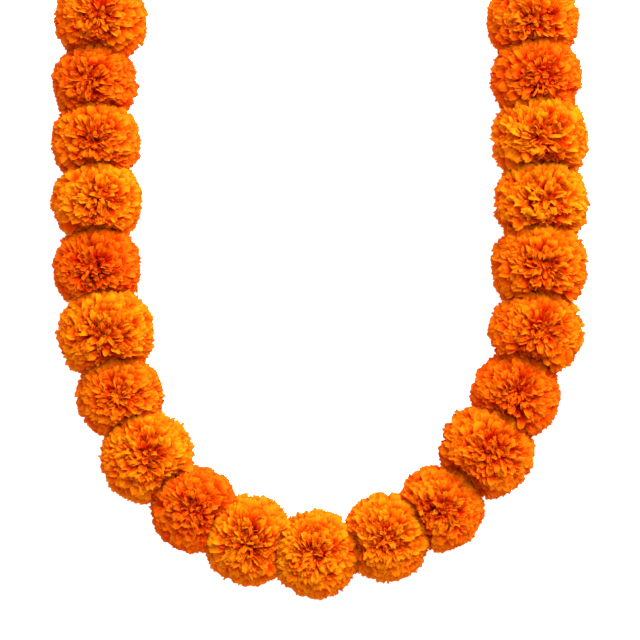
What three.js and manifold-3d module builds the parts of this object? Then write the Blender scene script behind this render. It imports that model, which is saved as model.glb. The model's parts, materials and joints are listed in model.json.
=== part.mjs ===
// A marigold garland lying in a U on a table: flower heads strung side by side, face up, on one
// cotton thread. The thread runs through the green cup (calyx) under each head and is knotted
// just past the two end heads. Millimetres. +Z is up, +X is to the right, and +Y points from
// the bend of the U towards its two ends. The origin is under the middle of the whole garland.

import * as THREE from "three";
import { mergeVertices } from "three/addons/utils/BufferGeometryUtils.js";
import Module from "manifold-3d";

const wasm = await Module();
wasm.setup();

// ---- Driving dimensions -------------------------------------------------------------------

// A head of the standard width. Every head on the string is this one at its own scale.
const STANDARD_WIDTH = 59; // petal tip to petal tip
const HEART_HEIGHT = 25; // from the table up to the middle of the head
const CROWN = 22; // from the middle of the head up to its highest petals
const SKIRT = 25; // from the middle down to where the lowest petals would meet
const SKIRT_ANGLE = 150; // where the outermost petals stop, in degrees from the top
const SHOULDER = 0.9; // under 1 makes the head's outline a little squarer than an oval
const DIMPLE = 1.8; // how far the centre of the flower sits below the petals round it
const TUFT = 0.02; // how far tufts of petals stand in and out, as a share of the radius
const HEAD_SIDES = 14;
const HEAD_ROWS = 7;

// The cup under the petals, as heights below the middle of the head.
const CUP_RADIUS = 6.6;
const CUP_TOP = 3.9;
const CUP_DOME = 2.6; // top of the receptacle that the petals grow from
const CUP_FOOT = 20;
const CUP_RIB = 0.3;
const CUP_SIDES = 10;
const STEM_RADIUS = 2.3;
const STEM_END = 28; // past the table, which trims it flat

// The thread.
const THREAD_RADIUS = 0.6;
const THREAD_DEPTH = 13; // below the middle of a head
const THREAD_STEPS = 78;
const THREAD_SIDES = 8;
const KNOT_DISTANCE = 23; // from the middle of an end head to the knot under its petals
const KNOT_RADIUS = 2;
const KNOT_SQUASH = 0.92; // its height over its width
const KNOT_STRETCH = 1.15; // its length over its width
const TAIL_LENGTH = 15;

const GAP = 0.3; // between pieces that touch
const CUP_ROOM = 0.5; // from the cup out to the petals that sit on it
const LAP_DEGREES = 20; // how far each head leans over the one above it on the string

// The heads as they are strung, from the left end round to the right one. x and y are the middle
// of the head, width is its own, and right and up say how many degrees its face leans that way.
// tone is the kind of orange it flowered in.
const STRING = [
  { x: -141.5, y: 347.5, width: 61, right: 1, up: 3, tone: "orange" },
  { x: -146, y: 306.5, width: 56.5, right: -6, up: 5, tone: "deep" },
  { x: -145, y: 268.5, width: 59, right: 3, up: 4, tone: "orange" },
  { x: -144, y: 229.5, width: 60, right: 11, up: 7, tone: "golden" },
  { x: -144, y: 186.5, width: 58.5, right: -3, up: 5, tone: "deep" },
  { x: -138, y: 143.5, width: 63.5, right: 4, up: -2, tone: "golden" },
  { x: -129.5, y: 103, width: 57, right: -1, up: 4, tone: "orange" },
  { x: -111.5, y: 63.5, width: 61.5, right: 1, up: 8, tone: "golden" },
  { x: -80.5, y: 29.5, width: 57.5, right: -1, up: 6, tone: "deep" },
  { x: -45, y: 9.5, width: 60, right: -1, up: 1, tone: "golden" },
  { x: -2, y: 0.5, width: 58, right: -4, up: 8, tone: "golden" },
  { x: 43.5, y: 11.5, width: 59, right: 1, up: 3, tone: "golden" },
  { x: 79, y: 30.5, width: 57.5, right: 4, up: 3, tone: "orange" },
  { x: 109, y: 67.5, width: 62.5, right: 10, up: 3, tone: "orange" },
  { x: 128, y: 104, width: 59, right: 1, up: 8, tone: "deep" },
  { x: 141, y: 145, width: 62, right: 6, up: 5, tone: "orange" },
  { x: 143, y: 187.5, width: 64, right: 2, up: 1, tone: "orange" },
  { x: 144.5, y: 229, width: 62.5, right: 8, up: 5, tone: "golden" },
  { x: 143.5, y: 270, width: 64, right: 1, up: 1, tone: "golden" },
  { x: 141.5, y: 309.5, width: 60.5, right: 4, up: 1, tone: "deep" },
  { x: 139, y: 347, width: 60.5, right: 0, up: -3, tone: "orange" },
];
const MIDDLE_HEAD = (STRING.length - 1) / 2;

// ---- Materials ----------------------------------------------------------------------------

const finish = (color, roughness) =>
  new THREE.MeshStandardMaterial({ color, roughness, metalness: 0 });

const PETAL_FINISH = {
  golden: () => finish("#ff9a0a", 0.7),
  orange: () => finish("#fb7d05", 0.7),
  deep: () => finish("#ee5d06", 0.7),
};
const cupFinish = () => finish("#7d9440", 0.6);
const threadFinish = () => finish("#efe6d2", 0.9);

// ---- Solids -------------------------------------------------------------------------------

// A closed three.js geometry as a solid that can be joined and cut.
function solidOf(geometry) {
  const bare = geometry.index ? geometry.toNonIndexed() : geometry.clone();
  bare.deleteAttribute("normal");
  bare.deleteAttribute("uv");
  const merged = mergeVertices(bare, 1e-3);
  return new wasm.Manifold(
    new wasm.Mesh({
      numProp: 3,
      vertProperties: merged.attributes.position.array,
      triVerts: new Uint32Array(merged.index.array),
    }),
  );
}

function geometryOf(solid) {
  const mesh = solid.getMesh();
  const geometry = new THREE.BufferGeometry();
  geometry.setAttribute("position", new THREE.BufferAttribute(mesh.vertProperties, 3));
  geometry.setIndex(new THREE.BufferAttribute(mesh.triVerts, 1));
  geometry.computeVertexNormals();
  return geometry;
}

// Spins [radius, height] points about +Z. reshape(point, side, row) may move each point after.
function spin(profile, sides, reshape) {
  const points = profile.map(([radius, height]) => new THREE.Vector2(radius, height));
  const geometry = new THREE.LatheGeometry(points, sides).rotateX(Math.PI / 2);
  const places = geometry.attributes.position;
  const point = new THREE.Vector3();
  for (let side = 0; side <= sides; side++) {
    for (let row = 0; row < profile.length; row++) {
      const index = side * profile.length + row;
      point.fromBufferAttribute(places, index);
      reshape(point, side % sides, row);
      places.setXYZ(index, point.x, point.y, point.z);
    }
  }
  return geometry;
}

function tube(path, radius, sides, steps) {
  const section = new THREE.Shape();
  for (let side = 0; side < sides; side++) {
    const angle = (2 * Math.PI * side) / sides;
    const corner = [radius * Math.cos(angle), radius * Math.sin(angle)];
    if (side === 0) section.moveTo(...corner);
    else section.lineTo(...corner);
  }
  section.closePath();
  return new THREE.ExtrudeGeometry(section, { steps, extrudePath: path });
}

// ---- One head -----------------------------------------------------------------------------

// The petals as one globe: the hollow that takes the cup, then the outside from skirt to crown.
const HOLLOW_RADIUS = CUP_RADIUS + CUP_RIB + CUP_ROOM;
const HOLLOW = [
  [0, CUP_ROOM - CUP_DOME],
  [HOLLOW_RADIUS, CUP_ROOM - CUP_TOP],
  [HOLLOW_RADIUS, -CUP_FOOT / 2],
  [SKIRT / 2, -CUP_FOOT],
];

function globeProfile() {
  const radius = STANDARD_WIDTH / 2;
  const outside = Array.from({ length: HEAD_ROWS }, (_, row) => {
    const angle = THREE.MathUtils.degToRad(SKIRT_ANGLE * (1 - row / (HEAD_ROWS - 0.5)));
    const height = Math.cos(angle) * (angle < Math.PI / 2 ? CROWN : SKIRT);
    return [radius * Math.sin(angle) ** SHOULDER, height];
  });
  return [...HOLLOW, ...outside, [0, CROWN - DIMPLE]];
}

function petalGlobe() {
  const profile = globeProfile();
  return spin(profile, HEAD_SIDES, (point, side, row) => {
    const isTufted = row > HOLLOW.length && row < profile.length - 1;
    if (isTufted) point.multiplyScalar(1 + ((side + row) % 2 ? TUFT : -TUFT));
  });
}

function cup() {
  const profile = [
    [0, -STEM_END],
    [STEM_RADIUS, -STEM_END],
    [STEM_RADIUS, -CUP_FOOT - 1],
    [CUP_RADIUS * 0.78, -CUP_FOOT + 2],
    [CUP_RADIUS, -CUP_FOOT + 6.5],
    [CUP_RADIUS, -CUP_TOP],
    [CUP_RADIUS * 0.62, -CUP_DOME - 0.6],
    [0, -CUP_DOME],
  ];
  const ribbedRows = [3, 4, 5];
  return spin(profile, CUP_SIDES, (point, side, row) => {
    if (!ribbedRows.includes(row)) return;
    const radius = Math.hypot(point.x, point.y);
    const ribbed = (radius + (side % 2 ? CUP_RIB : -CUP_RIB)) / radius;
    point.x *= ribbed;
    point.y *= ribbed;
  });
}

// ---- The string ---------------------------------------------------------------------------

const heads = STRING.map((strung) => {
  const head = new THREE.Group();
  const scale = strung.width / STANDARD_WIDTH;
  const [right, up] = [strung.right, strung.up].map(THREE.MathUtils.degToRad);
  head.rotation.set(-up, right, 0);
  head.scale.setScalar(scale);
  head.position.set(strung.x, strung.y, HEART_HEIGHT * scale);
  head.updateMatrixWorld(true);
  return head;
});

// The plane that parts two neighbours, facing from the upper one to the lower one on the string.
// The lower head leans over the upper one, as the weight of the string presses them.
function partingPlane(upper, lower) {
  const towards = lower.position.clone().sub(upper.position).setZ(0).normalize();
  const share = upper.scale.x / (upper.scale.x + lower.scale.x);
  const between = upper.position.clone().lerp(lower.position, share);
  const lap = THREE.MathUtils.degToRad(LAP_DEGREES);
  const normal = towards.multiplyScalar(Math.cos(lap)).setZ(Math.sin(lap));
  return new THREE.Plane().setFromNormalAndCoplanarPoint(normal, between);
}

// A block that fills everything beyond a plane, near where the plane crosses the string.
function blockBeyond(plane, near) {
  const size = 3 * STANDARD_WIDTH;
  const spot = plane.projectPoint(near, new THREE.Vector3());
  const up = new THREE.Vector3(0, 0, 1);
  const turn = new THREE.Quaternion().setFromUnitVectors(up, plane.normal);
  const block = new THREE.BoxGeometry(size, size, size).translate(0, 0, size / 2 - GAP / 2);
  return block.applyQuaternion(turn).translate(spot.x, spot.y, spot.z);
}

// What the neighbours of a head press its petals out of.
function pressedOutOf(index) {
  return [index - 1, index + 1]
    .filter((other) => heads[other])
    .map((other) => {
      const isBelow = Math.abs(other - MIDDLE_HEAD) < Math.abs(index - MIDDLE_HEAD);
      const plane = isBelow
        ? partingPlane(heads[index], heads[other])
        : partingPlane(heads[other], heads[index]).negate();
      return blockBeyond(plane, heads[index].position);
    });
}

// Where the thread crosses a head: through its cup.
const threadedAt = (head) => head.localToWorld(new THREE.Vector3(0, 0, -THREAD_DEPTH));

// From an end head the thread dips to a knot that lies on the table under the outer petals.
const knotHeight = KNOT_RADIUS * KNOT_SQUASH;
function runOut(head) {
  const { x, y } = head.position;
  const knotEdge = y + KNOT_DISTANCE - KNOT_RADIUS * KNOT_STRETCH - GAP;
  return [
    new THREE.Vector3(x, y + KNOT_DISTANCE * 0.4, THREAD_DEPTH * 0.62),
    new THREE.Vector3(x, knotEdge - 4, knotHeight + 1.2),
    new THREE.Vector3(x, knotEdge, knotHeight),
  ];
}

const [firstHead, lastHead] = [heads[0], heads[heads.length - 1]];
const route = new THREE.CatmullRomCurve3([
  ...runOut(firstHead).reverse(),
  ...heads.map(threadedAt),
  ...runOut(lastHead),
]);

// A knot on the table with a short trimmed tail, which bends a little to one side.
function knot(side) {
  const ball = new THREE.SphereGeometry(KNOT_RADIUS, 10, 6).scale(1, KNOT_STRETCH, KNOT_SQUASH);
  const onTable = THREAD_RADIUS * 1.1 - knotHeight;
  const tail = new THREE.CatmullRomCurve3([
    new THREE.Vector3(0, 0, 0),
    new THREE.Vector3(side * 0.6, TAIL_LENGTH * 0.35, onTable * 0.9),
    new THREE.Vector3(side * 1.8, TAIL_LENGTH * 0.7, onTable),
    new THREE.Vector3(side * 4.4, TAIL_LENGTH, onTable),
  ]);
  const tailTube = tube(tail, THREAD_RADIUS, THREAD_SIDES, 8);
  return geometryOf(solidOf(ball).add(solidOf(tailTube)));
}

// ---- Assembly -----------------------------------------------------------------------------

const garland = new THREE.Group();
const threadRoom = tube(route, THREAD_RADIUS + GAP, THREAD_SIDES, THREAD_STEPS);
const table = new THREE.BoxGeometry(1000, 1000, 100).translate(0, 0, -50);

heads.forEach((head, index) => {
  const intoHead = head.matrixWorld.clone().invert();
  const cutAway = (solid, geometry) =>
    solid.subtract(solidOf(geometry.clone().applyMatrix4(intoHead)));
  const number = String(index + 1).padStart(2, "0");

  const petals = [threadRoom, table, ...pressedOutOf(index)].reduce(
    cutAway,
    solidOf(petalGlobe()),
  );
  const bloom = new THREE.Mesh(geometryOf(petals), PETAL_FINISH[STRING[index].tone]());
  bloom.name = `bloom_${number}`;

  const greens = [threadRoom, table].reduce(cutAway, solidOf(cup()));
  const calyx = new THREE.Mesh(geometryOf(greens), cupFinish());
  calyx.name = `calyx_${number}`;

  head.add(bloom, calyx);
  garland.add(head);
});

const thread = new THREE.Mesh(
  tube(route, THREAD_RADIUS, THREAD_SIDES, THREAD_STEPS),
  threadFinish(),
);
thread.name = "thread";
garland.add(thread);

for (const [name, head, side] of [
  ["knot_left", firstHead, -1],
  ["knot_right", lastHead, 1],
]) {
  const tied = new THREE.Mesh(knot(side), threadFinish());
  tied.name = name;
  tied.position.set(head.position.x, head.position.y + KNOT_DISTANCE, knotHeight);
  garland.add(tied);
}

// The origin goes under the middle of the garland.
const extent = new THREE.Box3().setFromObject(garland, true);
const middle = extent.getCenter(new THREE.Vector3());
garland.position.set(-middle.x, -middle.y, 0);

export default garland;
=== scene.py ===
"""A marigold garland lying in a U: the petals, green cups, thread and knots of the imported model.

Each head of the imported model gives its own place, tilt and size. Its petals are grown here one
by one on a spiral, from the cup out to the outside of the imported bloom. Metres throughout.
"""

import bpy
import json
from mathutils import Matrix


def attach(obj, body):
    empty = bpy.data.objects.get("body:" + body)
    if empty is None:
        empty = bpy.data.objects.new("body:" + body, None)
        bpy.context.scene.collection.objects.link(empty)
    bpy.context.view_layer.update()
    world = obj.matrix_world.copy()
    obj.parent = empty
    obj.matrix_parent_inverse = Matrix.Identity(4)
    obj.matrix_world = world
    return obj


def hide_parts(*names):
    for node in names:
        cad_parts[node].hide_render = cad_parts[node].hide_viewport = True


bl_info = {
    "name": "Marigold garland",
    "version": (1, 0, 0),
    "blender": (4, 5, 0),
    "location": "3D View > Sidebar > Garland",
    "description": "Grows the petals, cups, thread and knots of a marigold garland",
    "category": "Add Mesh",
}

import json
import math
from collections import namedtuple

import bpy
import numpy as np
from bpy.props import FloatProperty, FloatVectorProperty, IntProperty, PointerProperty
from mathutils import Vector
from mathutils.bvhtree import BVHTree

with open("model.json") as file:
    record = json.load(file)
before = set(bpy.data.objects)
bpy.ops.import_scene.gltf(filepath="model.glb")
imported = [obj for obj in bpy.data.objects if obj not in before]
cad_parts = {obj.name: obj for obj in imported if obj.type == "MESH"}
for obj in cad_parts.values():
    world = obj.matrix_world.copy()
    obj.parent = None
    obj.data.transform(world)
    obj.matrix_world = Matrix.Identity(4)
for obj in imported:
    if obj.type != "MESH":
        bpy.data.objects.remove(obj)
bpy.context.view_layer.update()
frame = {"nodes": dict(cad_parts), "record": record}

HEADS = sorted(name for name in frame["nodes"] if name.startswith("bloom_"))
SLOT_OF = {part["node"]: part["material_slot"] for part in frame["record"]["subparts"]}

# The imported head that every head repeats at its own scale.
HEART_HEIGHT = 0.025
DOME_BELOW_HEART = 0.0026
CUP_RADIUS = 0.0066
THREAD_BELOW_HEART = 0.013

# The knots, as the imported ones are: how far they lie from the heart of an end head, their width,
# length and height, and the gap between one and the thread.
KNOT_DISTANCE = 0.023
KNOT_SIZE = (0.004, 0.0046, 0.00368)
KNOT_HEIGHT = 0.5 * KNOT_SIZE[2]
KNOT_GAP = 0.0003

# Each kind of piece draws its random numbers from a seed of its own.
PETAL_SEED = 700
CUP_SEED = 300
FRAY_SEED = 50

GOLDEN_ANGLE = math.pi * (3 - math.sqrt(5))

# How the heads differ: the number of petals, their width, how far the inner ones roll into
# quills, how much their edges ruffle, how many tufts they gather into and how strongly, and how
# far the centre of the flower is hollow.
Style = namedtuple("Style", "petals width quill ruffle tufts gather hollow")
STYLES = {
    "full": Style(670, 0.98, 0.8, 1.0, 14, 0.1875, 0.03),
    "fine": Style(710, 0.9, 1.0, 0.8, 18, 0.15, 0.02),
    "ruffled": Style(600, 1.12, 0.6, 1.35, 11, 0.2625, 0.07),
    "broad": Style(520, 1.3, 0.35, 1.2, 11, 0.225, 0.04),
}
STYLED = {"fine": (1, 3, 5, 15, 20), "ruffled": (6, 8, 11, 17, 19), "broad": (18,)}
STYLE_OF = {number: STYLES[kind] for kind, numbers in STYLED.items() for number in numbers}

BLACK, WHITE = (0, 0, 0), (1, 1, 1)


# ---- Settings ----


def length_setting(name, description, default):
    return FloatProperty(name=name, description=description, default=default, unit="LENGTH")


def share_setting(name, description, default, most):
    return FloatProperty(
        name=name, description=description, default=default, min=0, max=most, subtype="FACTOR"
    )


def colour_setting(name, description, default):
    return FloatVectorProperty(name=name, description=description, default=default, subtype="COLOR")


class PetalSettings(bpy.types.PropertyGroup):
    outer_width: length_setting("Outer width", "Width of a petal at the rim", 0.0077)
    inner_width: length_setting("Inner width", "Width of a petal at the centre", 0.0034)
    thickness: length_setting("Thickness", "Thickness of a petal", 0.0003)
    lowest_angle: FloatProperty(
        name="Lowest angle",
        description="How far the lowest petals turn down from the top of the head",
        default=math.radians(140),
        unit="ROTATION",
    )
    notch: share_setting("Notch", "Depth of a petal's notches, as a share of half its width", 0.2, 0.6)
    golden: colour_setting("Golden", "Petal tips of the golden heads", (0.9, 0.288, 0.001))
    orange: colour_setting("Orange", "Petal tips of the orange heads", (0.89, 0.23, 0.0008))
    deep: colour_setting("Deep", "Petal tips of the deep orange heads", (0.87, 0.178, 0.0006))


class CupSettings(bpy.types.PropertyGroup):
    ribs: IntProperty(name="Ribs", description="Ribs round a cup", default=14, min=6, max=24, step=2)
    rib_depth: share_setting("Rib depth", "Depth of the grooves, as a share of the radius", 0.1, 0.3)
    tooth: length_setting("Tooth", "Height of the teeth on the rim", 0.0015)
    green: colour_setting("Green", "Colour of the cups", (0.17, 0.27, 0.05))


class ThreadSettings(bpy.types.PropertyGroup):
    radius: length_setting("Radius", "Radius of the whole thread", 0.0006)
    twist: length_setting("Twist", "Length of one turn of the two strands", 0.0034)
    cotton: colour_setting("Cotton", "Colour of the thread", (0.6, 0.5, 0.33))


class StageSettings(bpy.types.PropertyGroup):
    floor: colour_setting("Floor", "Colour of the floor", (0.96, 0.96, 0.96))
    glow: FloatProperty(
        name="Glow", description="Light that the floor gives off, as a light table does", default=0.8
    )
    camera_height: length_setting("Camera height", "Height of the camera over the flowers", 1.5)
    view_width: length_setting("View width", "Width of what the camera sees at the flowers", 0.416)
    view_drop: length_setting("View drop", "How far the view lies towards the bend", 0.02625)


# ---- Where the heads are ----

# Corners lower than this lie on the surface.
ON_SURFACE = 1e-5

Head = namedtuple("Head", "name number heart axis across up scale")


def corners_of(node):
    mesh = frame["nodes"][node].data
    places = np.empty(len(mesh.vertices) * 3, np.float32)
    mesh.vertices.foreach_get("co", places)
    return places.reshape(-1, 3).astype(float)


def unit(vectors):
    return vectors / np.linalg.norm(vectors, axis=-1, keepdims=True)


def radial_of(head, around):
    """Directions square to a head's axis, at some angles round it."""
    return np.outer(np.cos(around), head.across) + np.outer(np.sin(around), head.up)


def find_head(name):
    """Reads a head's place from its cup: the foot of the stem, and the top of the dome over it."""
    corners = corners_of(name.replace("bloom", "calyx"))
    foot = corners[corners[:, 2] < ON_SURFACE].mean(axis=0)
    top = corners[np.linalg.norm(corners - foot, axis=1).argmax()]
    axis = unit(top - foot)
    scale = top[2] / (HEART_HEIGHT - DOME_BELOW_HEART * axis[2])
    heart = top + axis * DOME_BELOW_HEART * scale
    across = unit(np.cross((0, 1, 0), axis))
    return Head(name, int(name[-2:]), heart, axis, across, np.cross(axis, across), scale)


# ---- Mesh helpers ----


def add_piece(name, vertices, faces, material, attributes=None, sharp=None):
    """A smooth mesh that rides with the garland. attributes holds one number per vertex each, and
    edges between two vertices marked in sharp stay creased."""
    mesh = bpy.data.meshes.new(name)
    mesh.from_pydata(vertices, [], faces)
    mesh.polygons.foreach_set("use_smooth", np.ones(len(mesh.polygons), bool))
    for key, values in (attributes or {}).items():
        layer = mesh.attributes.new(key, "FLOAT", "POINT")
        layer.data.foreach_set("value", np.asarray(values, np.float32))
    if sharp is not None:
        ends = np.empty(len(mesh.edges) * 2, np.int32)
        mesh.edges.foreach_get("vertices", ends)
        creased = sharp[ends].reshape(-1, 2).all(axis=1)
        layer = mesh.attributes.new("sharp_edge", "BOOLEAN", "EDGE")
        layer.data.foreach_set("value", creased)
    mesh.materials.append(material)
    mesh.update()
    piece = bpy.data.objects.new(name, mesh)
    bpy.context.scene.collection.objects.link(piece)
    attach(piece, "root")
    return piece


def walls_between(rings):
    """Four-sided faces between closed rings of vertices, which are numbered as (ring, place)."""
    beside = np.roll(rings, -1, axis=1)
    walls = np.stack([rings[:-1], beside[:-1], beside[1:], rings[1:]], axis=-1)
    return walls.reshape(-1, 4).tolist()


def smoothstep(low, high, values):
    share = np.clip((values - low) / (high - low), 0, 1)
    return share * share * (3 - 2 * share)


# ---- Petals ----

# The rows of vertices that a petal has from root to tip: how far along it each lies, and how many
# vertices it has. A row has as many spaces between them as the one before, or a whole number of
# times as many. Petals between the two tilts are the wide ones.
WIDE_LEAF = ((0, 2), (0.42, 4), (0.68, 4), (0.87, 7), (1, 13))
NARROW_LEAF = ((0, 2), (0.5, 4), (0.8, 4), (1, 7))
WIDE_TILTS = (math.radians(24), math.radians(112))

# The spiral of petals: how it crowds towards the centre, how far a petal strays in turn and in
# tilt, its least tilt, how far past the lowest angle it may lean, and how wide a tuft is.
CROWDING = 1.6
STRAY_TURN = 0.16
STRAY_TILT = math.radians(3.5)
LEAST_TILT = math.radians(2)
SLACK = 0.05
TUFT_WIDTH = 0.07

# A distance from a head's heart that is sure to be outside its bloom.
FAR_FROM_HEART = 0.06

# Each head laps over the next one away from the bend. A petal is pressed from the first of these
# shares of its length that the other head takes, and wholly at the second. It slides along that
# head: all the way where it lies under, and LAPPING_SLIDE of the way where it lies over, where it
# may also reach further by LAPPING_REACH. It lies wholly under where its own head's outside faces
# up by FACING_EDGE, and wholly over where it faces down by as much.
PRESSED_SHARES = (0.03, 0.12)
FACING_EDGE = 0.1
LAPPING_SLIDE = 0.75
LAPPING_REACH = 0.24

# A petal is near a seam if one that leans SEAM_ANGLE further is pressed. It grows longer by
# SEAM_COVER, less SEAM_TUCK where that one lies under. FLAT_OVER is how much less a petal's tip
# curls where it is pressed but lies over, and FLAT_TUCKED where the one that leans further is
# pressed and lies under.
SEAM_ANGLE = math.radians(16)
SEAM_COVER = 0.03
SEAM_TUCK = 0.04
FLAT_OVER = 0.25
FLAT_TUCKED = 0.4

# The disc that petals are rooted in: its radius, how far its middle lies under the heart, and how
# much lower its rim is.
ROOT_RADIUS = 0.0056
ROOT_DEPTH = 0.0028
ROOT_FALL = 0.0009

# How far a petal's tip curls back, and how much that varies: least, and added at the rim or in
# the centre.
CURL, RIM_CURL = math.radians(24), math.radians(36)
LOOSE, CENTRE_LOOSE = math.radians(14), math.radians(46)

# How far a petal rolls round its middle line at the root and at the tip, and how much more a
# quilled one does.
ROOT_ROLL, ROOT_QUILL = 0.6, 1.6
TIP_ROLL, TIP_QUILL = 0.2, 0.9
ROLL_LIMITS = (-1.2, 2.4)
LEAST_ROLL = 0.05

# How wide a petal is at its root, as a share of its widest part.
CLAW = 0.24

Leaf = namedtuple("Leaf", "row across faces inside rim")


def leaf_of(rows):
    """A closed thin leaf laid out flat: a front, and a back that shares its outline."""
    counts = [count for _, count in rows]
    starts = np.cumsum([0, *counts])
    row = np.repeat([place for place, _ in rows], counts)
    across = np.concatenate([np.linspace(-1, 1, count) for count in counts])
    front = []
    for level, (count, above) in enumerate(zip(counts, counts[1:])):
        split = (above - 1) // (count - 1)
        for space in range(count - 1):
            corner = starts[level] + space
            first = starts[level + 1] + split * space
            # No edge runs from outline to outline, because front and back would share it.
            on_left = 0 if space == 0 else split
            fan = (split + 1) // 2 if count == 2 or 0 < space < count - 2 else on_left
            front.append((corner, corner + 1, first + fan))
            for step in range(split):
                below = corner if step < fan else corner + 1
                front.append((below, first + step + 1, first + step))
    front = np.array(front)
    inside = (row > 0) & (row < 1) & (np.abs(across) < 1)
    behind = np.arange(len(row))
    behind[inside] = len(row) + np.arange(inside.sum())
    rim = np.concatenate([~inside, np.zeros(inside.sum(), bool)])
    return Leaf(row, across, np.concatenate([front, behind[front][:, ::-1]]), inside, rim)


def by_tilt(low, high, tilt):
    """Rises from 0 to 1 between two tilts in degrees."""
    return smoothstep(math.radians(low), math.radians(high), tilt)


def tilt_of(directions, head):
    return np.arccos(np.clip(directions @ head.axis, -1, 1))


def leaning(head, tilt, radial):
    return np.sin(tilt)[:, None] * radial + np.cos(tilt)[:, None] * head.axis


def cast(tree, head, directions):
    """How far each direction runs from a head's heart to the outside of its packed bloom, and
    which way the outside faces there."""
    heart = Vector(head.heart)
    reaches, facing = [], []
    for direction in directions:
        start = heart + Vector(direction) * FAR_FROM_HEART
        hit, normal, _, _ = tree.ray_cast(start, -Vector(direction), FAR_FROM_HEART)
        reaches.append((hit - heart).length if hit else 0.5 * FAR_FROM_HEART)
        facing.append(normal if hit else direction)
    return np.array(reaches), np.array(facing)


def free_reach(tree, head):
    """How far a head's petals reach at each tilt where nothing presses on them."""
    tilts = np.radians(np.arange(0, 151, 6))
    radial = radial_of(head, np.radians(np.arange(0, 360, 10)))
    rings = [leaning(head, np.full(len(radial), tilt), radial) for tilt in tilts]
    return tilts, np.array([cast(tree, head, ring)[0].max() for ring in rings])


def gather(directions, head, style, random):
    """Leans petals towards the nearest of a few tufts, which leaves gaps between the tufts."""
    tilt = np.arccos(1 - 1.4 * random.uniform(0, 1, style.tufts))
    around = random.uniform(0, 2 * math.pi, style.tufts)
    centres = leaning(head, tilt, radial_of(head, around))
    pull = style.gather * np.exp(-((1 - directions @ centres.T) / TUFT_WIDTH) ** 2)
    return unit(directions + (pull[:, :, None] * (centres[None] - directions[:, None])).sum(axis=1))


def spiral(head, style, settings, random):
    """How far out each petal is, from 0 in the centre to 1 at the rim, and which way it points."""
    order = np.arange(style.petals)
    outward = (order + 0.5) / style.petals
    around = order * GOLDEN_ANGLE + random.uniform(0, 2 * math.pi)
    around += random.normal(0, STRAY_TURN, style.petals)
    lowest = 1 - math.cos(settings.lowest_angle)
    tilt = np.arccos(1 - lowest * outward**CROWDING)
    tilt += random.normal(0, STRAY_TILT, style.petals)
    tilt = np.clip(np.abs(tilt), LEAST_TILT, settings.lowest_angle + SLACK)
    return outward, gather(leaning(head, tilt, radial_of(head, around)), head, style, random)


def free_lengths(tilt, outline, style, random):
    """How long petals grow where nothing presses on them: unevenly, and less in a hollow centre."""
    hollow = style.hollow * by_tilt(38, 4, tilt)
    uneven = (0.042 - 0.012 * np.sin(tilt)) * random.normal(0, 1, style.petals)
    return np.interp(tilt, *outline) * ((1 - hollow) * (1 + np.clip(uneven, -0.12, 0.025)))


def contact(tree, head, directions, free):
    """How petals of some free length meet the next head: how far it lets them reach, which way
    their own head's outside faces there, how hard they are pressed and how far they lie under."""
    reach, facing = cast(tree, head, directions)
    pressed = smoothstep(*PRESSED_SHARES, 1 - reach / free)
    under = smoothstep(-FACING_EDGE, FACING_EDGE, facing[:, 2])
    return reach, facing, pressed, under


def press(tree, head, directions, free, random):
    """Slides petals along the head that they would grow into. Gives which way they then point,
    how far they reach, how hard they are pressed and how far they lie under."""
    reach, facing, pressed, under = contact(tree, head, directions, free)
    beyond = np.maximum(((free - reach)[:, None] * directions * facing).sum(axis=1), 0)
    slide = pressed * beyond * (LAPPING_SLIDE + (1 - LAPPING_SLIDE) * under)
    tips = free[:, None] * directions - slide[:, None] * facing
    directions = unit(tips)
    reach, _ = cast(tree, head, directions)
    length = np.linalg.norm(tips, axis=1)
    most = reach * random.uniform(0.97, 1.02 + LAPPING_REACH * (1 - under))
    return directions, np.where(pressed > 0, np.minimum(length, most), length), pressed, under


def petal_places(head, style, settings, random):
    """A head's free outline, and its petals from the centre out: a dictionary of arrays, in which
    petal is a number by chance for each."""
    bloom = frame["nodes"][head.name].data
    tree = BVHTree.FromPolygons(
        [vertex.co for vertex in bloom.vertices], [face.vertices for face in bloom.polygons]
    )
    outline = free_reach(tree, head)
    outward, directions = spiral(head, style, settings, random)
    free = free_lengths(tilt_of(directions, head), outline, style, random)
    directions, reach, pressed, under = press(tree, head, directions, free, random)

    tilt = np.minimum(tilt_of(directions, head), settings.lowest_angle + SLACK)
    radial = unit(directions - (directions @ head.axis)[:, None] * head.axis)
    further = tilt + SEAM_ANGLE
    edge = np.interp(further, *outline)
    _, _, ahead, tucked = contact(tree, head, leaning(head, further, radial), edge)
    return outline, {
        "outward": outward,
        "tilt": tilt,
        "inner": by_tilt(60, 14, tilt),
        "radial": radial,
        "sideways": np.cross(head.axis, radial),
        "reach": reach * (1 + ahead * (SEAM_COVER - SEAM_TUCK * tucked)),
        "curl": 1 - np.maximum(
            pressed * (FLAT_OVER + (1 - FLAT_OVER) * under), FLAT_TUCKED * ahead * tucked
        ),
        "pressed": pressed,
        "petal": random.uniform(0, 1, style.petals),
    }


class Chances:
    """Random numbers for a group of petals, with one row for each petal."""

    def __init__(self, random, count):
        self.random = random
        self.count = count

    def between(self, low, high):
        return self.random.uniform(low, high, (self.count, 1))

    def about_zero(self, spread, columns=1):
        return self.random.normal(0, spread, (self.count, columns))


def heading(angle):
    return np.stack([np.sin(angle), np.cos(angle)], axis=-1)


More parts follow.
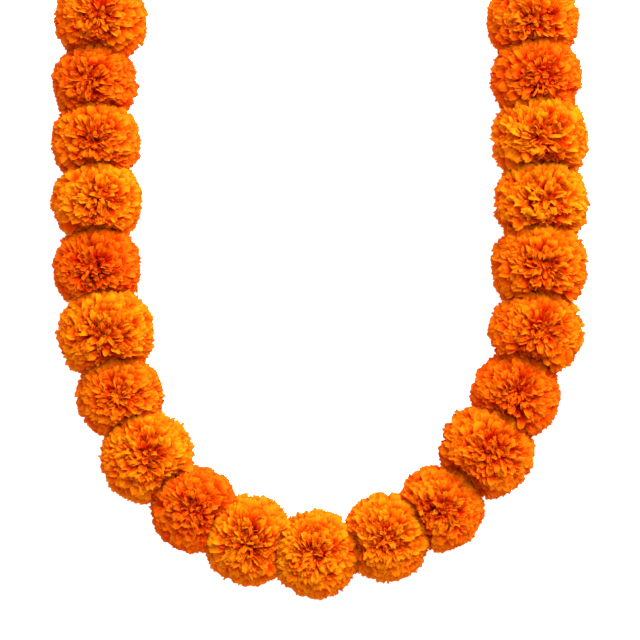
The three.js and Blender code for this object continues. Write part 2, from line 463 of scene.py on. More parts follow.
def middle_line(head, petals, along, chances):
    """Where each petal's middle line runs, and which way it heads, as (out, height) pairs."""
    tilt = petals["tilt"]
    out = ROOT_RADIUS * head.scale * np.sqrt(petals["outward"])
    height = -(ROOT_DEPTH + ROOT_FALL * petals["outward"]) * head.scale
    root = np.stack([out, height], axis=1)
    tip = petals["reach"][:, None] * heading(tilt)
    length = np.linalg.norm(tip - root, axis=1)
    curls = CURL + RIM_CURL * by_tilt(12, 70, tilt)
    loose = LOOSE + CENTRE_LOOSE * by_tilt(60, 20, tilt)
    curls = curls * petals["curl"] + loose * chances.about_zero(1)[:, 0]
    first = root + 0.42 * length[:, None] * heading(0.5 * tilt)
    second = tip - 0.36 * length[:, None] * heading(tilt + curls)
    root, first, second, tip = (point[:, None] for point in (root, first, second, tip))
    t = along[..., None]
    line = (1 - t) ** 3 * root + 3 * t * (1 - t) ** 2 * first + 3 * t**2 * (1 - t) * second + t**3 * tip
    slope = (1 - t) ** 2 * (first - root) + 2 * t * (1 - t) * (second - first) + t**2 * (tip - second)
    return line, unit(slope)


def petal_outline(head, petals, leaf, style, settings, chances):
    """How wide each petal is at each vertex, to one side, and how far along it that vertex lies:
    a narrow claw that widens into a blunt tip with a few shallow notches."""
    inner = petals["inner"][:, None]
    row = leaf.row[None]
    across = leaf.across[None]
    tip = row == 1
    side = np.abs(across) == 1
    widest = settings.inner_width * inner + settings.outer_width * (1 - inner)
    widest = 0.5 * head.scale * style.width * widest * chances.between(0.8, 1.2)
    half = widest * (CLAW + (1 - CLAW) * smoothstep(0.1, 0.8, row)) * (1 - 0.2 * tip)
    half = half * (1 + chances.about_zero(0.05, len(leaf.row)) * side)
    blunt = chances.between(0.3, 0.6) * np.abs(across) ** 2.5
    waves = np.cos(2 * math.pi * across * chances.between(0.8, 1.15) + chances.about_zero(0.7))
    notch = settings.notch * (0.5 + 0.5 * waves)
    ragged = chances.about_zero(0.2 * settings.notch, len(leaf.row)) * tip
    shorter = (blunt + notch + ragged) * widest / petals["reach"][:, None]
    return half, row * (1 - shorter * row**4)


def petal_section(petals, leaf, half, style, chances):
    """How far each vertex lies beside its petal's middle line, and above it: rolled round the
    line, ruffled towards the tip, turned a little and swept to one side."""
    inner = petals["inner"][:, None]
    row = leaf.row[None]
    across = leaf.across[None]
    root_roll = ROOT_ROLL + ROOT_QUILL * inner * style.quill
    tip_roll = TIP_ROLL + TIP_QUILL * inner * style.quill + chances.about_zero(0.2) * (1 + inner)
    roll = np.clip(root_roll * (1 - row) + tip_roll * row, *ROLL_LIMITS)
    roll = np.where(np.abs(roll) < LEAST_ROLL, LEAST_ROLL, roll)
    aside = half * np.sin(roll * across) / roll
    lift = half * (1 - np.cos(roll * across)) / roll

    ruffle = style.ruffle * (0.6 + 0.4 * inner) * chances.between(0.1, 0.4) * row**2
    waves = math.pi * across * chances.between(0.9, 1.9) + chances.between(0, 2 * math.pi)
    lift += half * ruffle * np.sin(waves)
    crinkle = style.ruffle * chances.between(0.04, 0.12) * row**3
    lift += half * crinkle * np.sin(math.pi * across * 3 + chances.between(0, 2 * math.pi))

    turn = chances.about_zero(0.2) * (1 + 2.4 * inner) * row
    aside, lift = aside * np.cos(turn) - lift * np.sin(turn), aside * np.sin(turn) + lift * np.cos(turn)
    aside += chances.about_zero(0.07) * (1 + 1.6 * inner) * row**2 * petals["reach"][:, None]
    return aside, lift


def grow_petals(head, petals, leaf, style, settings, random):
    """Vertices of every petal given, as (petal, vertex, 3), with their along and across numbers."""
    chances = Chances(random, len(petals["tilt"]))
    half, along = petal_outline(head, petals, leaf, style, settings, chances)
    line, slope = middle_line(head, petals, along, chances)
    aside, lift = petal_section(petals, leaf, half, style, chances)
    radial = petals["radial"][:, None]
    sideways = petals["sideways"][:, None]
    inward = slope[..., :1] * head.axis - slope[..., 1:] * radial
    sheet = line[..., :1] * radial + line[..., 1:] * head.axis + head.heart
    sheet = sheet + aside[..., None] * sideways + lift[..., None] * inward

    # Front and back part by the petal's thickness, and meet all round its outline.
    offset = 0.5 * settings.thickness * head.scale * leaf.inside[None, :, None] * inward
    vertices = np.concatenate([sheet + offset, (sheet - offset)[:, leaf.inside]], axis=1)
    across = np.broadcast_to(leaf.across[None], along.shape)
    along, across = (np.concatenate([grid, grid[:, leaf.inside]], axis=1) for grid in (along, across))
    return vertices, along, across


def depth_of(head, petals, places, outline):
    """How deep each vertex lies under the outside of the head and under its petal's own tip, which
    counts for more on a pressed petal. It grows towards the heart, faster on the inner petals. The
    petals' material paints shade from it: darker and redder the deeper a vertex lies."""
    from_heart = places - head.heart
    far = np.linalg.norm(from_heart, axis=-1)
    edge = np.interp(tilt_of(unit(from_heart), head), *outline)
    own = petals["reach"][:, None]
    share = 0.5 + 0.4 * petals["pressed"][:, None]
    return (1.3 - 0.9 * petals["outward"][:, None]) * (1 - far * ((1 - share) / edge + share / own))


def build_bloom(head, settings, material):
    """One head's petals as one piece, in which every petal is a closed thin leaf of its own."""
    style = STYLE_OF.get(head.number, STYLES["full"])
    random = np.random.default_rng(PETAL_SEED + head.number)
    outline, petals = petal_places(head, style, settings, random)
    wide = (petals["tilt"] > WIDE_TILTS[0]) & (petals["tilt"] < WIDE_TILTS[1])
    vertices, faces, rims = [], [], []
    numbers = {"along": [], "across": [], "petal": [], "outward": [], "depth": []}
    start = 0
    for chosen, rows in ((wide, WIDE_LEAF), (~wide, NARROW_LEAF)):
        leaf = leaf_of(rows)
        group = {key: values[chosen] for key, values in petals.items()}
        places, along, across = grow_petals(head, group, leaf, style, settings, random)
        count, size = along.shape
        shift = start + np.arange(count)[:, None, None] * size
        start += count * size
        vertices.append(places.reshape(-1, 3))
        faces.append((leaf.faces[None] + shift).reshape(-1, 3))
        rims.append(np.tile(leaf.rim, count))
        numbers["along"].append(along.ravel())
        numbers["across"].append(across.ravel())
        # The depth sets the painted shade in the petals' material.
        numbers["depth"].append(depth_of(head, group, places, outline).ravel())
        for key in ("petal", "outward"):
            numbers[key].append(np.repeat(group[key], size))
    piece = add_piece(
        head.name.replace("bloom", "petals"),
        np.concatenate(vertices),
        np.concatenate(faces),
        material,
        {key: np.concatenate(values) for key, values in numbers.items()},
        np.concatenate(rims),
    )
    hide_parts(head.name)


# ---- Cups ----

# The outline of a cup from the middle of the cut stem up to the middle of the dome inside the
# teeth, as (radius, height over the heart), both as shares of the cup's radius.
CUP_OUTLINE = (
    (0.0, -4.24), (0.17, -4.24), (0.31, -4.24), (0.35, -4.2), (0.35, -3.5), (0.39, -3.18),
    (0.56, -2.92), (0.78, -2.7), (0.94, -2.36), (1.0, -1.9), (1.0, -1.4), (1.02, -1.0),
    (1.04, -0.78), (1.05, -0.68), (0.97, -0.68), (0.88, -0.66), (0.62, -0.52), (0.32, -0.42),
    (0.0, -0.39),
)

# Where the parts of a cup are among its rings of vertices. The three rings up to the teeth rise
# by these shares of a tooth's height, and lean out as they rise. A tooth spans two ribs.
CUP_STUB_ROWS = 4
CUP_RIBBED_ROWS = slice(6, 13)
CUP_TEETH_ROW = 13
TOOTH_SHARES = (0.35, 0.9, 0.85)
TOOTH_LEAN = 0.12
CUP_COLUMNS_PER_RIB = 4

# The bruise that the thread leaves: how far from the thread it starts to fade, how far it
# reaches, and how closely the thread's route is followed to find it.
BRUISE_START = 0.0008
BRUISE_END = 0.0024
BRUISE_SPACING = 0.0008


def cup_rings(head, columns, settings):
    """The vertices of a cup from its foot to its dome, as (ring, column, 3), and how far up a rib
    each column is, from -1 in a groove to 1 on a crest."""
    random = np.random.default_rng(CUP_SEED + head.number)
    around = np.arange(columns) * 2 * math.pi / columns
    rib = np.cos(around * settings.ribs)
    uneven = 1 + 0.02 * np.sin(2 * around + random.uniform(0, 6))
    rows = np.array(CUP_OUTLINE[1:-1]) * CUP_RADIUS * head.scale
    radius = np.repeat(rows[:, :1], columns, axis=1) * uneven
    height = np.repeat(rows[:, 1:], columns, axis=1)
    radius[CUP_RIBBED_ROWS] *= 1 + settings.rib_depth * (np.sqrt(0.5 + 0.5 * rib) - 0.5)
    teeth = settings.tooth * head.scale * (0.5 + 0.5 * np.cos(around * settings.ribs / 2)) ** 1.5
    tallness = random.uniform(0.7, 1.1, settings.ribs).repeat(2 * CUP_COLUMNS_PER_RIB)
    teeth = teeth * np.resize(tallness, columns)
    for row, share in enumerate(TOOTH_SHARES, CUP_TEETH_ROW - 2):
        height[row] += share * teeth
        radius[row] += share * TOOTH_LEAN * teeth
    radial = radial_of(head, around)[None]
    return head.heart + radius[..., None] * radial + height[..., None] * head.axis, rib


def build_cup(head, route, settings, material):
    """A ribbed green cup with a toothed rim, on a stub of stem that is cut flat on the surface."""
    columns = settings.ribs * CUP_COLUMNS_PER_RIB
    rings, rib = cup_rings(head, columns, settings)
    middles = np.array([CUP_OUTLINE[0][1], CUP_OUTLINE[-1][1]]) * CUP_RADIUS * head.scale
    ends = head.heart + middles[:, None] * head.axis
    vertices = np.concatenate([ends[:1], rings.reshape(-1, 3), ends[1:]])
    sunk = np.minimum(vertices[:, 2], 0)
    vertices -= np.outer(sunk / head.axis[2], head.axis)

    rows = len(rings)
    corner = 1 + np.arange(rows * columns).reshape(rows, columns)
    top = len(vertices) - 1
    foot_fan = [(0, second, first) for first, second in zip(corner[0], np.roll(corner[0], -1))]
    dome_fan = [(top, first, second) for first, second in zip(corner[-1], np.roll(corner[-1], -1))]

    level = np.concatenate([[0], np.arange(rows).repeat(columns), [rows]])
    numbers = {
        "rib": np.concatenate([[0], np.tile(rib, rows), [0]]),
        "rise": (vertices - head.heart) @ head.axis / (CUP_RADIUS * head.scale),
        "inside": (level > CUP_TEETH_ROW).astype(float),
        "cut": (level < CUP_STUB_ROWS - 1).astype(float),
        "bruise": smoothstep(BRUISE_END, BRUISE_START, distance_to(route, vertices)),
    }
    piece = add_piece(
        head.name.replace("bloom", "cup"),
        vertices,
        [*foot_fan, *walls_between(corner), *dome_fan],
        material,
        numbers,
        np.isin(level, (CUP_STUB_ROWS - 2, CUP_TEETH_ROW - 1)),
    )
    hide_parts(head.name.replace("bloom", "calyx"))


# ---- Thread and knots ----

# The thread's two strands, how far its middle stays from the surface and from the outside of a
# knot, and how far apart the points along it are.
STRAND_SHARE = 0.56
STRAND_SIDES = 5
THREAD_ROOM = 0.00062
THREAD_SPACING = 0.00055
KNOT_SPACING = 0.0004
CURVE_STEPS = 40

# Where the thread dips from an end head to its knot: how far out and how low one point is, and
# how far before the knot and how much over its middle the next one is.
DIP_OUT = 0.4 * KNOT_DISTANCE
DIP_HEIGHT = 0.62 * THREAD_BELOW_HEART
LANDING_BACK = 0.004
LANDING_RISE = 0.0012

# A knot: its turns, the points that they take, and the places along its tail as (aside, out).
KNOT_TURNS = 2.6
KNOT_POINTS = 34
TAIL = ((0.0006, 0.0052), (0.0018, 0.0105), (0.0044, 0.015))

# The loose fibres at the end of a tail: how many, how far they spread, their least and greatest
# length, how much they bend, how thick they are as a share of the thread, how much they thin
# towards their tips, and their least height.
FRAY_FIBRES = 12
FIBRE_SPREAD = 0.45
FIBRE_LENGTHS = (0.0012, 0.0026)
FIBRE_BEND = 0.0004
FIBRE_SHARE = 0.16
FIBRE_TAPER = 0.7
FIBRE_POINTS = 5
FIBRE_SIDES = 4
FIBRE_LIFT = 0.0001


def distance_to(route, points):
    """How far each point is from the nearest of a route's points."""
    return np.array([np.linalg.norm(route - point, axis=1).min() for point in points])


def distances_along(points):
    """How far along a line each of its points is."""
    return np.concatenate([[0], np.cumsum(np.linalg.norm(np.diff(points, axis=0), axis=1))])


def curve_between(points):
    """The part of a centripetal Catmull-Rom curve between the middle two of four points."""
    marks = np.cumsum([0, *np.sqrt(np.linalg.norm(np.diff(points, axis=0), axis=1))])
    t = np.linspace(marks[1], marks[2], CURVE_STEPS, endpoint=False)[:, None]
    curves = list(points)
    for level in (1, 2):
        curves = [
            ((marks[low + level] - t) * first + (t - marks[low]) * second)
            / (marks[low + level] - marks[low])
            for low, (first, second) in enumerate(zip(curves, curves[1:]))
        ]
    first, second = curves
    return ((marks[2] - t) * first + (t - marks[1]) * second) / (marks[2] - marks[1])


def smooth_route(points, spacing):
    """A smooth curve through the points, as evenly spaced points."""
    points = np.asarray(points, float)
    points = np.concatenate([[2 * points[0] - points[1]], points, [2 * points[-1] - points[-2]]])
    finely = [curve_between(points[start : start + 4]) for start in range(len(points) - 3)]
    finely = np.concatenate([*finely, points[-2:-1]])
    far = distances_along(finely)
    even = np.linspace(0, far[-1], max(2, round(far[-1] / spacing)))
    return np.stack([np.interp(even, far, finely[:, axis]) for axis in range(3)], axis=1)


def frames_along(points):
    """Two directions square to a curve at each of its points, which don't spin round it."""
    heads_to = unit(np.gradient(points, axis=0))
    start = (0, 0, 1) if abs(heads_to[0][2]) < 0.9 else (1, 0, 0)
    side = unit(np.cross(heads_to[0], start))
    sides = []
    for ahead in heads_to:
        side = unit(side - (side @ ahead) * ahead)
        sides.append(side)
    sides = np.array(sides)
    return sides, np.cross(heads_to, sides)


def tube_of(centres, sides, ups, radii, corners):
    """Vertices and faces of a closed tube. radii holds one radius for each centre."""
    around = np.arange(corners) * 2 * math.pi / corners
    ring = np.cos(around)[None, :, None] * sides[:, None] + np.sin(around)[None, :, None] * ups[:, None]
    vertices = (centres[:, None] + radii[:, None, None] * ring).reshape(-1, 3)
    corner = np.arange(len(vertices)).reshape(-1, corners)
    return vertices, [*walls_between(corner), corner[0][::-1].tolist(), corner[-1].tolist()]


def join(parts):
    """One list of vertices and one of faces from several."""
    vertices, faces = [], []
    start = 0
    for more, polygons in parts:
        vertices.append(more)
        faces += [[start + corner for corner in polygon] for polygon in polygons]
        start += len(more)
    return np.concatenate(vertices), faces


def twist(points, settings):
    """Two strands twisted round a route: their vertices, and their faces."""
    sides, ups = frames_along(points)
    far = distances_along(points)
    strand = settings.radius * STRAND_SHARE
    parts = []
    for half in (0, math.pi):
        turn = (2 * math.pi * far / settings.twist + half)[:, None]
        aside = np.cos(turn) * sides + np.sin(turn) * ups
        across = -np.sin(turn) * sides + np.cos(turn) * ups
        centres = points + (settings.radius - strand) * aside
        radii = np.full(len(points), strand)
        parts.append(tube_of(centres, aside, across, radii, STRAND_SIDES))
    return join(parts)


def run_out(head):
    """The thread's points from an end head to the near side of its knot."""
    x, y, _ = head.heart
    edge = y + KNOT_DISTANCE - 0.5 * KNOT_SIZE[1] - KNOT_GAP
    landing = (x, edge - LANDING_BACK, KNOT_HEIGHT + LANDING_RISE)
    return [(x, y + DIP_OUT, DIP_HEIGHT), landing, (x, edge, KNOT_HEIGHT)]


def thread_points(heads):
    """Where the thread runs: from a knot, through every cup, to the other knot."""
    points = [head.heart - THREAD_BELOW_HEART * head.scale * head.axis for head in heads]
    return [*run_out(heads[0])[::-1], *points, *run_out(heads[-1])]


def knot_points(head, side):
    """A stopper knot on its side, past an end head: two strands side by side with tight turns
    round them, and a tail that lies on the surface and bends to one side."""
    wide, long, high = KNOT_SIZE
    middle = (head.heart[0], head.heart[1] + KNOT_DISTANCE, KNOT_HEIGHT)
    inner = 0.22 * wide
    wrap = 0.5 * wide - THREAD_ROOM
    turns = np.linspace(0, KNOT_TURNS * 2 * math.pi, KNOT_POINTS)
    core = [(0, -0.5, 0), (-inner, -0.36, 0), (-inner, 0, 0), (-inner, 0.34, 0)]
    coil = [
        (-wrap * math.cos(turn), 0.36 - 0.7 * turn / turns[-1], wrap * math.sin(turn))
        for turn in turns
    ]
    back = [(inner, -0.3, 0), (inner, 0, 0), (inner, 0.4, 0), (0, 0.55, -0.1 * high)]
    ball = [(x, y * long, z) for x, y, z in [*core, *coil, *back]]
    tail = [(side * aside, out, THREAD_ROOM - KNOT_HEIGHT) for aside, out in TAIL]
    return np.array([*ball, *tail]) + middle


def frayed_end(tip, ahead, settings, random):
    """Loose fibres where a tail was cut."""
    share = np.linspace(0, 1, FIBRE_POINTS)[:, None]
    radii = settings.radius * FIBRE_SHARE * (1 - FIBRE_TAPER * share[:, 0])
    parts = []
    for _ in range(FRAY_FIBRES):
        spread = unit(np.asarray(ahead) + random.normal(0, FIBRE_SPREAD, 3) * (1, 1, 0.5))
        reach = random.uniform(*FIBRE_LENGTHS)
        bend = random.normal(0, FIBRE_BEND, 3)
        points = tip + share * reach * spread + share**2 * bend
        points[:, 2] = np.maximum(points[:, 2], FIBRE_LIFT)
        parts.append(tube_of(points, *frames_along(points), radii, FIBRE_SIDES))
    return parts


def cotton_piece(name, node, parts, material):
    vertices, faces = join(parts)
    piece = add_piece(name, vertices, faces, material)
    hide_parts(node)


def tie_knot(name, node, head, side, settings, material):
    """A stopper knot with its tail and frayed end. side is -1 for a tail to the left, 1 to the
    right."""
    path = smooth_route(knot_points(head, side), KNOT_SPACING)
    path[:, 2] = np.maximum(path[:, 2], THREAD_ROOM)
    random = np.random.default_rng(FRAY_SEED + side)
    fray = frayed_end(path[-1], path[-1] - path[-2], settings, random)
    cotton_piece(name, node, [twist(path, settings), *fray], material)


# ---- Materials ----

# The shades of a petal, as shares of its tip's colour. Root, middle and body are partly the petal's
# own redder base and partly painted shade: darker and redder the deeper a point lies in the head.
ROOT_AND_DEEPEST_SHADE = (1.05, 0.04, 0.1)
MIDDLE_AND_DEEPER_SHADE = (1.06, 0.24, 0.3)
BODY_AND_SHALLOW_SHADE = (1.04, 0.66, 0.6)
RIM_SHADE = (1.0, 1.18, 2.0)
PALE_SHADE = (1.0, 1.25, 4.0)

# How deep under the outside of a head the body, middle and root shades are reached, which is where
# the painted shade sets in and deepens.
BODY_DEPTH = 0.03
MIDDLE_DEPTH = 0.075
ROOT_DEPTH_SHARE = 0.17

# What each of these takes off a petal's colour, and how strongly.
CENTRE_TINT, CENTRE_STRENGTH = (1.0, 0.52, 0.4), 0.6
# Painted shade on the lowest petals round the rim: darker and redder where the head shades them.
SKIRT_PAINTED_SHADE, SKIRT_SHADE_STRENGTH = (1.0, 0.58, 0.5), 0.85
VEIN_TINT, VEIN_STRENGTH = (0.86, 0.62, 0.5), 0.4
THROUGH_TINT, THROUGH_SHARE = (1.0, 0.5, 0.3), 0.4


def new_material(name, roughness):
    """A material with one shader: the material, its node tree, the shader and the output."""
    material = bpy.data.materials.new(name)
    material.use_nodes = True
    tree = material.node_tree
    tree.nodes.clear()
    shader = tree.nodes.new("ShaderNodeBsdfPrincipled")
    shader.inputs["Roughness"].default_value = roughness
    output = tree.nodes.new("ShaderNodeOutputMaterial")
    tree.links.new(shader.outputs[0], output.inputs["Surface"])
    return material, tree, shader, output


def tinted(colour, shares):
    return tuple(channel * share for channel, share in zip(colour, shares))


def feed(tree, socket, value):
    """Sets a socket to a number or a colour, or links another node's output to it."""
    if isinstance(value, (int, float)):
        socket.default_value = value
    elif isinstance(value, tuple):
        socket.default_value = (*value, 1)
    else:
        tree.links.new(value, socket)


def attribute(tree, name):
    node = tree.nodes.new("ShaderNodeAttribute")
    node.attribute_name = name
    return node.outputs["Fac"]


def ramp(tree, value, stops):
    node = tree.nodes.new("ShaderNodeValToRGB")
    tree.links.new(value, node.inputs["Fac"])
    marks = node.color_ramp.elements
    while len(marks) < len(stops):
        marks.new(0.5)
    for mark, (place, colour) in zip(marks, stops):
        mark.position = place
        mark.color = (*colour, 1)
    return node.outputs["Color"]


def rising(tree, value, low, high):
    return ramp(tree, value, [(low, BLACK), (high, WHITE)])


def falling(tree, value, low, high):
    return ramp(tree, value, [(low, WHITE), (high, BLACK)])


def maths(tree, operation, *values):
    node = tree.nodes.new("ShaderNodeMath")
    node.operation = operation
    for socket, value in zip(node.inputs, values):
        feed(tree, socket, value)
    return node.outputs[0]


def times(tree, value, factor):
    return maths(tree, "MULTIPLY", value, factor)


def mixed(tree, blend, share, first, second):
    node = tree.nodes.new("ShaderNodeMix")
    node.data_type = "RGBA"
    node.blend_type = blend
    feed(tree, node.inputs[0], share)
    feed(tree, node.inputs[6], first)
    feed(tree, node.inputs[7], second)
    return node.outputs[2]


def place_on(tree):
    return tree.nodes.new("ShaderNodeTexCoord").outputs["Object"]


def noise_of(tree, place, scale, detail):
    node = tree.nodes.new("ShaderNodeTexNoise")
    tree.links.new(place, node.inputs["Vector"])
    node.inputs["Scale"].default_value = scale
    node.inputs["Detail"].default_value = detail
    return node.outputs["Fac"]


def add_bump(tree, shader, height, strength, distance):
    bump = tree.nodes.new("ShaderNodeBump")
    bump.inputs["Strength"].default_value = strength
    bump.inputs["Distance"].default_value = distance
    tree.links.new(height, bump.inputs["Height"])
    tree.links.new(bump.outputs[0], shader.inputs["Normal"])


def veins_of(tree, along, across, petal):
    """A number that streaks along each petal, differently on every one."""
    streaks = maths(tree, "MULTIPLY_ADD", across, 5.0, times(tree, petal, 90.0))
    place = tree.nodes.new("ShaderNodeCombineXYZ")
    for socket, value in zip(place.inputs, (streaks, times(tree, along, 1.7), petal)):
        tree.links.new(value, socket)
    return noise_of(tree, place.outputs[0], 1.4, 3)


def petal_colour(tree, tip, veins, along, across, petal):
    """Deep red at the root, through orange, to the tip's colour and a lighter rim. The deep red is
    partly painted shade, darker and redder the deeper a point lies in the head. Some petals are paler
    all over, those in the centre are redder, and the lowest petals round the rim get painted shade."""
    # Painted shade, partly the petal's own redder base: darker and redder the deeper a point lies.
    shades = [tinted(tip, shares) for shares in (BODY_AND_SHALLOW_SHADE, MIDDLE_AND_DEEPER_SHADE, ROOT_AND_DEEPEST_SHADE)]
    stops = zip((0.0, BODY_DEPTH, MIDDLE_DEPTH, ROOT_DEPTH_SHARE), (tip, *shades))
    colour = ramp(tree, attribute(tree, "depth"), list(stops))

    side = times(tree, rising(tree, maths(tree, "ABSOLUTE", across), 0.6, 1.0), along)
    rim = maths(tree, "MAXIMUM", side, rising(tree, along, 0.86, 1.0))
    colour = mixed(tree, "MIX", times(tree, rim, 0.5), colour, tinted(tip, RIM_SHADE))
    pale = times(tree, maths(tree, "POWER", petal, 2), 0.5)
    colour = mixed(tree, "MIX", pale, colour, tinted(tip, PALE_SHADE))

    outward = attribute(tree, "outward")
    centre = times(tree, falling(tree, outward, 0.0, 0.35), CENTRE_STRENGTH)
    colour = mixed(tree, "MULTIPLY", centre, colour, CENTRE_TINT)
    # Painted shade: the lowest petals round the rim, under the head, darker and redder.
    skirt_shade = times(tree, rising(tree, outward, 0.45, 0.9), SKIRT_SHADE_STRENGTH)
    colour = mixed(tree, "MULTIPLY", skirt_shade, colour, SKIRT_PAINTED_SHADE)
    streak = ramp(tree, veins, [(0.3, VEIN_TINT), (0.6, WHITE)])
    return mixed(tree, "MULTIPLY", VEIN_STRENGTH, colour, streak)


def petal_material(name, tip):
    """A matt petal with raised veins, which lets some reddened light through."""
    material, tree, shader, output = new_material(name, 0.65)
    along, across, petal = (attribute(tree, key) for key in ("along", "across", "petal"))
    veins = veins_of(tree, along, across, petal)
    colour = petal_colour(tree, tip, veins, along, across, petal)
    tree.links.new(colour, shader.inputs["Base Color"])
    shader.inputs["Specular IOR Level"].default_value = 0.03
    add_bump(tree, shader, veins, 0.35, 0.0004)
    glow = tree.nodes.new("ShaderNodeBsdfTranslucent")
    tree.links.new(mixed(tree, "MULTIPLY", 1.0, colour, THROUGH_TINT), glow.inputs["Color"])
    mix = tree.nodes.new("ShaderNodeMixShader")
    mix.inputs[0].default_value = THROUGH_SHARE
    tree.links.new(shader.outputs[0], mix.inputs[1])
    tree.links.new(glow.outputs[0], mix.inputs[2])
    tree.links.new(mix.outputs[0], output.inputs["Surface"])
    return material


def glands_of(tree):
    """Small oil glands in the grooves of a cup, drawn out along it."""
    stretch = tree.nodes.new("ShaderNodeMapping")
    stretch.inputs["Scale"].default_value = (1, 1, 0.35)
    tree.links.new(place_on(tree), stretch.inputs["Vector"])
    glands = tree.nodes.new("ShaderNodeTexVoronoi")
    glands.inputs["Scale"].default_value = 900
    tree.links.new(stretch.outputs[0], glands.inputs["Vector"])
    spots = falling(tree, glands.outputs["Distance"], 0.12, 0.26)
    return times(tree, spots, falling(tree, attribute(tree, "rib"), 0.0, 0.6))


def cup_material(settings):
    """Waxy green: yellower on the ribs, with dark glands between them, reddish brown tips to the
    teeth, a pale dome inside, a pale cut end and a brown bruise where the thread goes in."""
    material, tree, shader, _ = new_material("calyx_green", 0.45)
    green = tuple(settings.green)
    dark = tinted(green, (0.42, 0.55, 0.5))
    light = tinted(green, (1.7, 1.35, 1.3))
    mottling = noise_of(tree, place_on(tree), 260, 4)
    ribbed = maths(tree, "MULTIPLY_ADD", attribute(tree, "rib"), 0.35, mottling)
    colour = ramp(tree, ribbed, [(0.25, dark), (0.5, green), (0.8, light)])
    colour = mixed(tree, "MIX", times(tree, glands_of(tree), 0.7), colour, (0.05, 0.045, 0.01))
    tips = rising(tree, maths(tree, "ADD", attribute(tree, "rise"), 1.0), 0.45, 0.85)
    colour = mixed(tree, "MIX", times(tree, tips, 0.75), colour, (0.16, 0.07, 0.035))
    colour = mixed(tree, "MIX", attribute(tree, "inside"), colour, (0.55, 0.5, 0.2))
    pores = noise_of(tree, place_on(tree), 1400, 3)
    pith = ramp(tree, pores, [(0.3, (0.42, 0.46, 0.2)), (0.7, (0.72, 0.72, 0.46))])
    colour = mixed(tree, "MIX", attribute(tree, "cut"), colour, pith)
    bruise = times(tree, attribute(tree, "bruise"), 0.8)
    colour = mixed(tree, "MIX", bruise, colour, (0.07, 0.04, 0.015))
    tree.links.new(colour, shader.inputs["Base Color"])
    add_bump(tree, shader, noise_of(tree, place_on(tree), 1500, 4), 0.25, 0.0002)
    return material


def cotton_material(settings):
    """Natural cotton: creamy, fibrous, with darker fibres and faintly browned patches."""
    material, tree, shader, _ = new_material("cotton", 0.9)
    cotton = tuple(settings.cotton)
    shade = tinted(cotton, (0.66, 0.62, 0.52))
    light = tuple(channel**0.6 for channel in cotton)
    fibres = noise_of(tree, place_on(tree), 2600, 5)
    colour = ramp(tree, fibres, [(0.32, shade), (0.55, cotton), (0.8, light)])
    browning = noise_of(tree, place_on(tree), 60, 2)
    patches = ramp(tree, browning, [(0.4, WHITE), (0.75, (0.9, 0.78, 0.6))])
    tree.links.new(mixed(tree, "MULTIPLY", 0.6, colour, patches), shader.inputs["Base Color"])
    shader.inputs["Specular IOR Level"].default_value = 0.15
    add_bump(tree, shader, fibres, 0.6, 0.0002)
    return material


# ---- Stage ----

FLOOR_HALF = 6

# The lamps: their names, places, widths and powers in watts. Then the light from all round.
LAMPS = (
    ("key", (0.95, 1.95, 1.4), 2.3, 188),
    ("overhead", (0.3, 0.6, 1.9), 1.2, 14),
    ("front", (-0.3, -2.3, 0.35), 1.8, 20),
)
SKY_COLOUR = (1, 0.97, 0.95)
SKY_STRENGTH = 0.53


def add_floor(settings):
    """A wide matt sheet that also gives off light."""
    material, _, shader, _ = new_material("floor", 0.9)
    shader.inputs["Base Color"].default_value = (*settings.floor, 1)
    shader.inputs["Emission Color"].default_value = (*WHITE, 1)
    shader.inputs["Emission Strength"].default_value = settings.glow
    corners = [(x * FLOOR_HALF, y * FLOOR_HALF, 0) for x, y in ((-1, -1), (1, -1), (1, 1), (-1, 1))]
    mesh = bpy.data.meshes.new("floor")
    mesh.from_pydata(corners, [], [(0, 1, 2, 3)])
    mesh.materials.append(material)
    floor = bpy.data.objects.new("floor", mesh)
    bpy.context.scene.collection.objects.link(floor)


def add_lamp(name, place, size, power):
    """A round lamp that faces the middle of the garland."""
    lamp = bpy.data.lights.new(name, "AREA")
    lamp.shape = "DISK"
    lamp.size = size
    lamp.energy = power
    light = bpy.data.objects.new(name, lamp)
    light.location = place
    light.rotation_euler = (-Vector(place)).to_track_quat("-Z", "Y").to_euler()
    bpy.context.scene.collection.objects.link(light)


def add_sky():
    world = bpy.data.worlds.new("soft")
    world.use_nodes = True
    background = world.node_tree.nodes["Background"]
    background.inputs["Color"].default_value = (*SKY_COLOUR, 1)
    background.inputs["Strength"].default_value = SKY_STRENGTH
    bpy.context.scene.world = world


def add_camera(settings):
    """A camera straight over the garland."""
    camera = bpy.data.objects.new("camera", bpy.data.cameras.new("camera"))
    camera.location = (0, -settings.view_drop, HEART_HEIGHT + settings.camera_height)
    camera.data.lens = camera.data.sensor_width * settings.camera_height / settings.view_width
    bpy.context.scene.collection.objects.link(camera)
    bpy.context.scene.camera = camera


# ---- Operators ----


class GARLAND_OT_petals(bpy.types.Operator):
    """Grows every petal of every head"""

    bl_idname = "garland.petals"
    bl_label = "Petals"

    def execute(self, context):
        settings = context.scene.garland_petals
        materials = {
            "petals_" + shade: petal_material("petals_" + shade, tuple(getattr(settings, shade)))
            for shade in ("golden", "orange", "deep")
        }
        for name in HEADS:
            build_bloom(find_head(name), settings, materials[SLOT_OF[name]])
        return {"FINISHED"}


class GARLAND_OT_cups(bpy.types.Operator):
    """Models the green cup under every head"""

    bl_idname = "garland.cups"
    bl_label = "Cups"

    def execute(self, context):
        settings = context.scene.garland_cups
        material = cup_material(settings)
        heads = [find_head(name) for name in HEADS]
        route = smooth_route(thread_points(heads), BRUISE_SPACING)
        for head in heads:
            build_cup(head, route, settings, material)
        return {"FINISHED"}


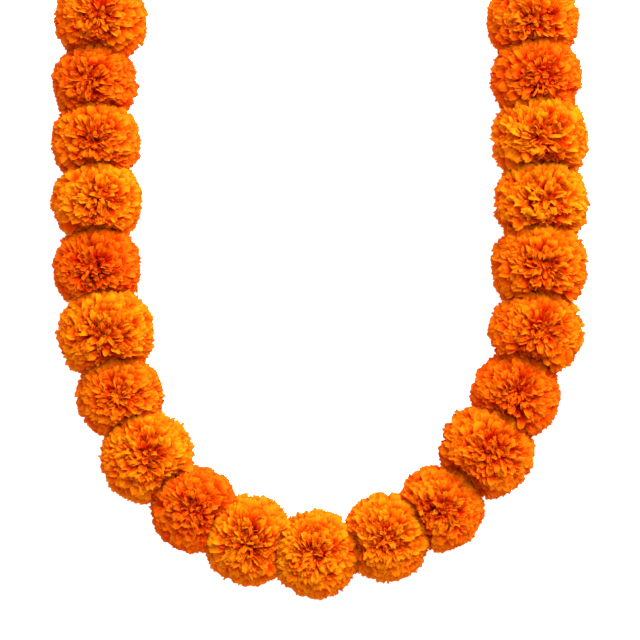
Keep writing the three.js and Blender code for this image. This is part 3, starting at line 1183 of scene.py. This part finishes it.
class GARLAND_OT_thread(bpy.types.Operator):
    """Twists the thread through the cups and ties a knot at each end"""

    bl_idname = "garland.thread"
    bl_label = "Thread and knots"

    def execute(self, context):
        settings = context.scene.garland_thread
        material = cotton_material(settings)
        heads = [find_head(name) for name in HEADS]
        route = smooth_route(thread_points(heads), THREAD_SPACING)
        cotton_piece("twine", "thread", [twist(route, settings)], material)
        tie_knot("stopper_left", "knot_left", heads[0], -1, settings, material)
        tie_knot("stopper_right", "knot_right", heads[-1], 1, settings, material)
        return {"FINISHED"}


class GARLAND_OT_stage(bpy.types.Operator):
    """Adds the floor, the lights and the camera"""

    bl_idname = "garland.stage"
    bl_label = "Stage"

    def execute(self, context):
        settings = context.scene.garland_stage
        add_floor(settings)
        for lamp in LAMPS:
            add_lamp(*lamp)
        add_sky()
        add_camera(settings)
        context.scene.view_settings.view_transform = "Standard"
        return {"FINISHED"}


class GARLAND_PT_panel(bpy.types.Panel):
    """Lists the garland's steps in the sidebar"""

    bl_idname = "GARLAND_PT_panel"
    bl_label = "Garland"
    bl_space_type = "VIEW_3D"
    bl_region_type = "UI"
    bl_category = "Garland"

    def draw(self, context):
        for step in STEPS:
            self.layout.operator(step.bl_idname)


STEPS = (GARLAND_OT_petals, GARLAND_OT_cups, GARLAND_OT_thread, GARLAND_OT_stage)
GROUPS = {
    "garland_petals": PetalSettings,
    "garland_cups": CupSettings,
    "garland_thread": ThreadSettings,
    "garland_stage": StageSettings,
}


def register():
    for group in (*GROUPS.values(), *STEPS, GARLAND_PT_panel):
        bpy.utils.register_class(group)
    for key, group in GROUPS.items():
        setattr(bpy.types.Scene, key, PointerProperty(type=group))


def unregister():
    for key in GROUPS:
        delattr(bpy.types.Scene, key)
    for group in reversed((*GROUPS.values(), *STEPS, GARLAND_PT_panel)):
        bpy.utils.unregister_class(group)


def main():
    register()
    bpy.ops.garland.petals()
    bpy.ops.garland.cups()
    bpy.ops.garland.thread()
    bpy.ops.garland.stage()


if __name__ == "__main__":
    main()
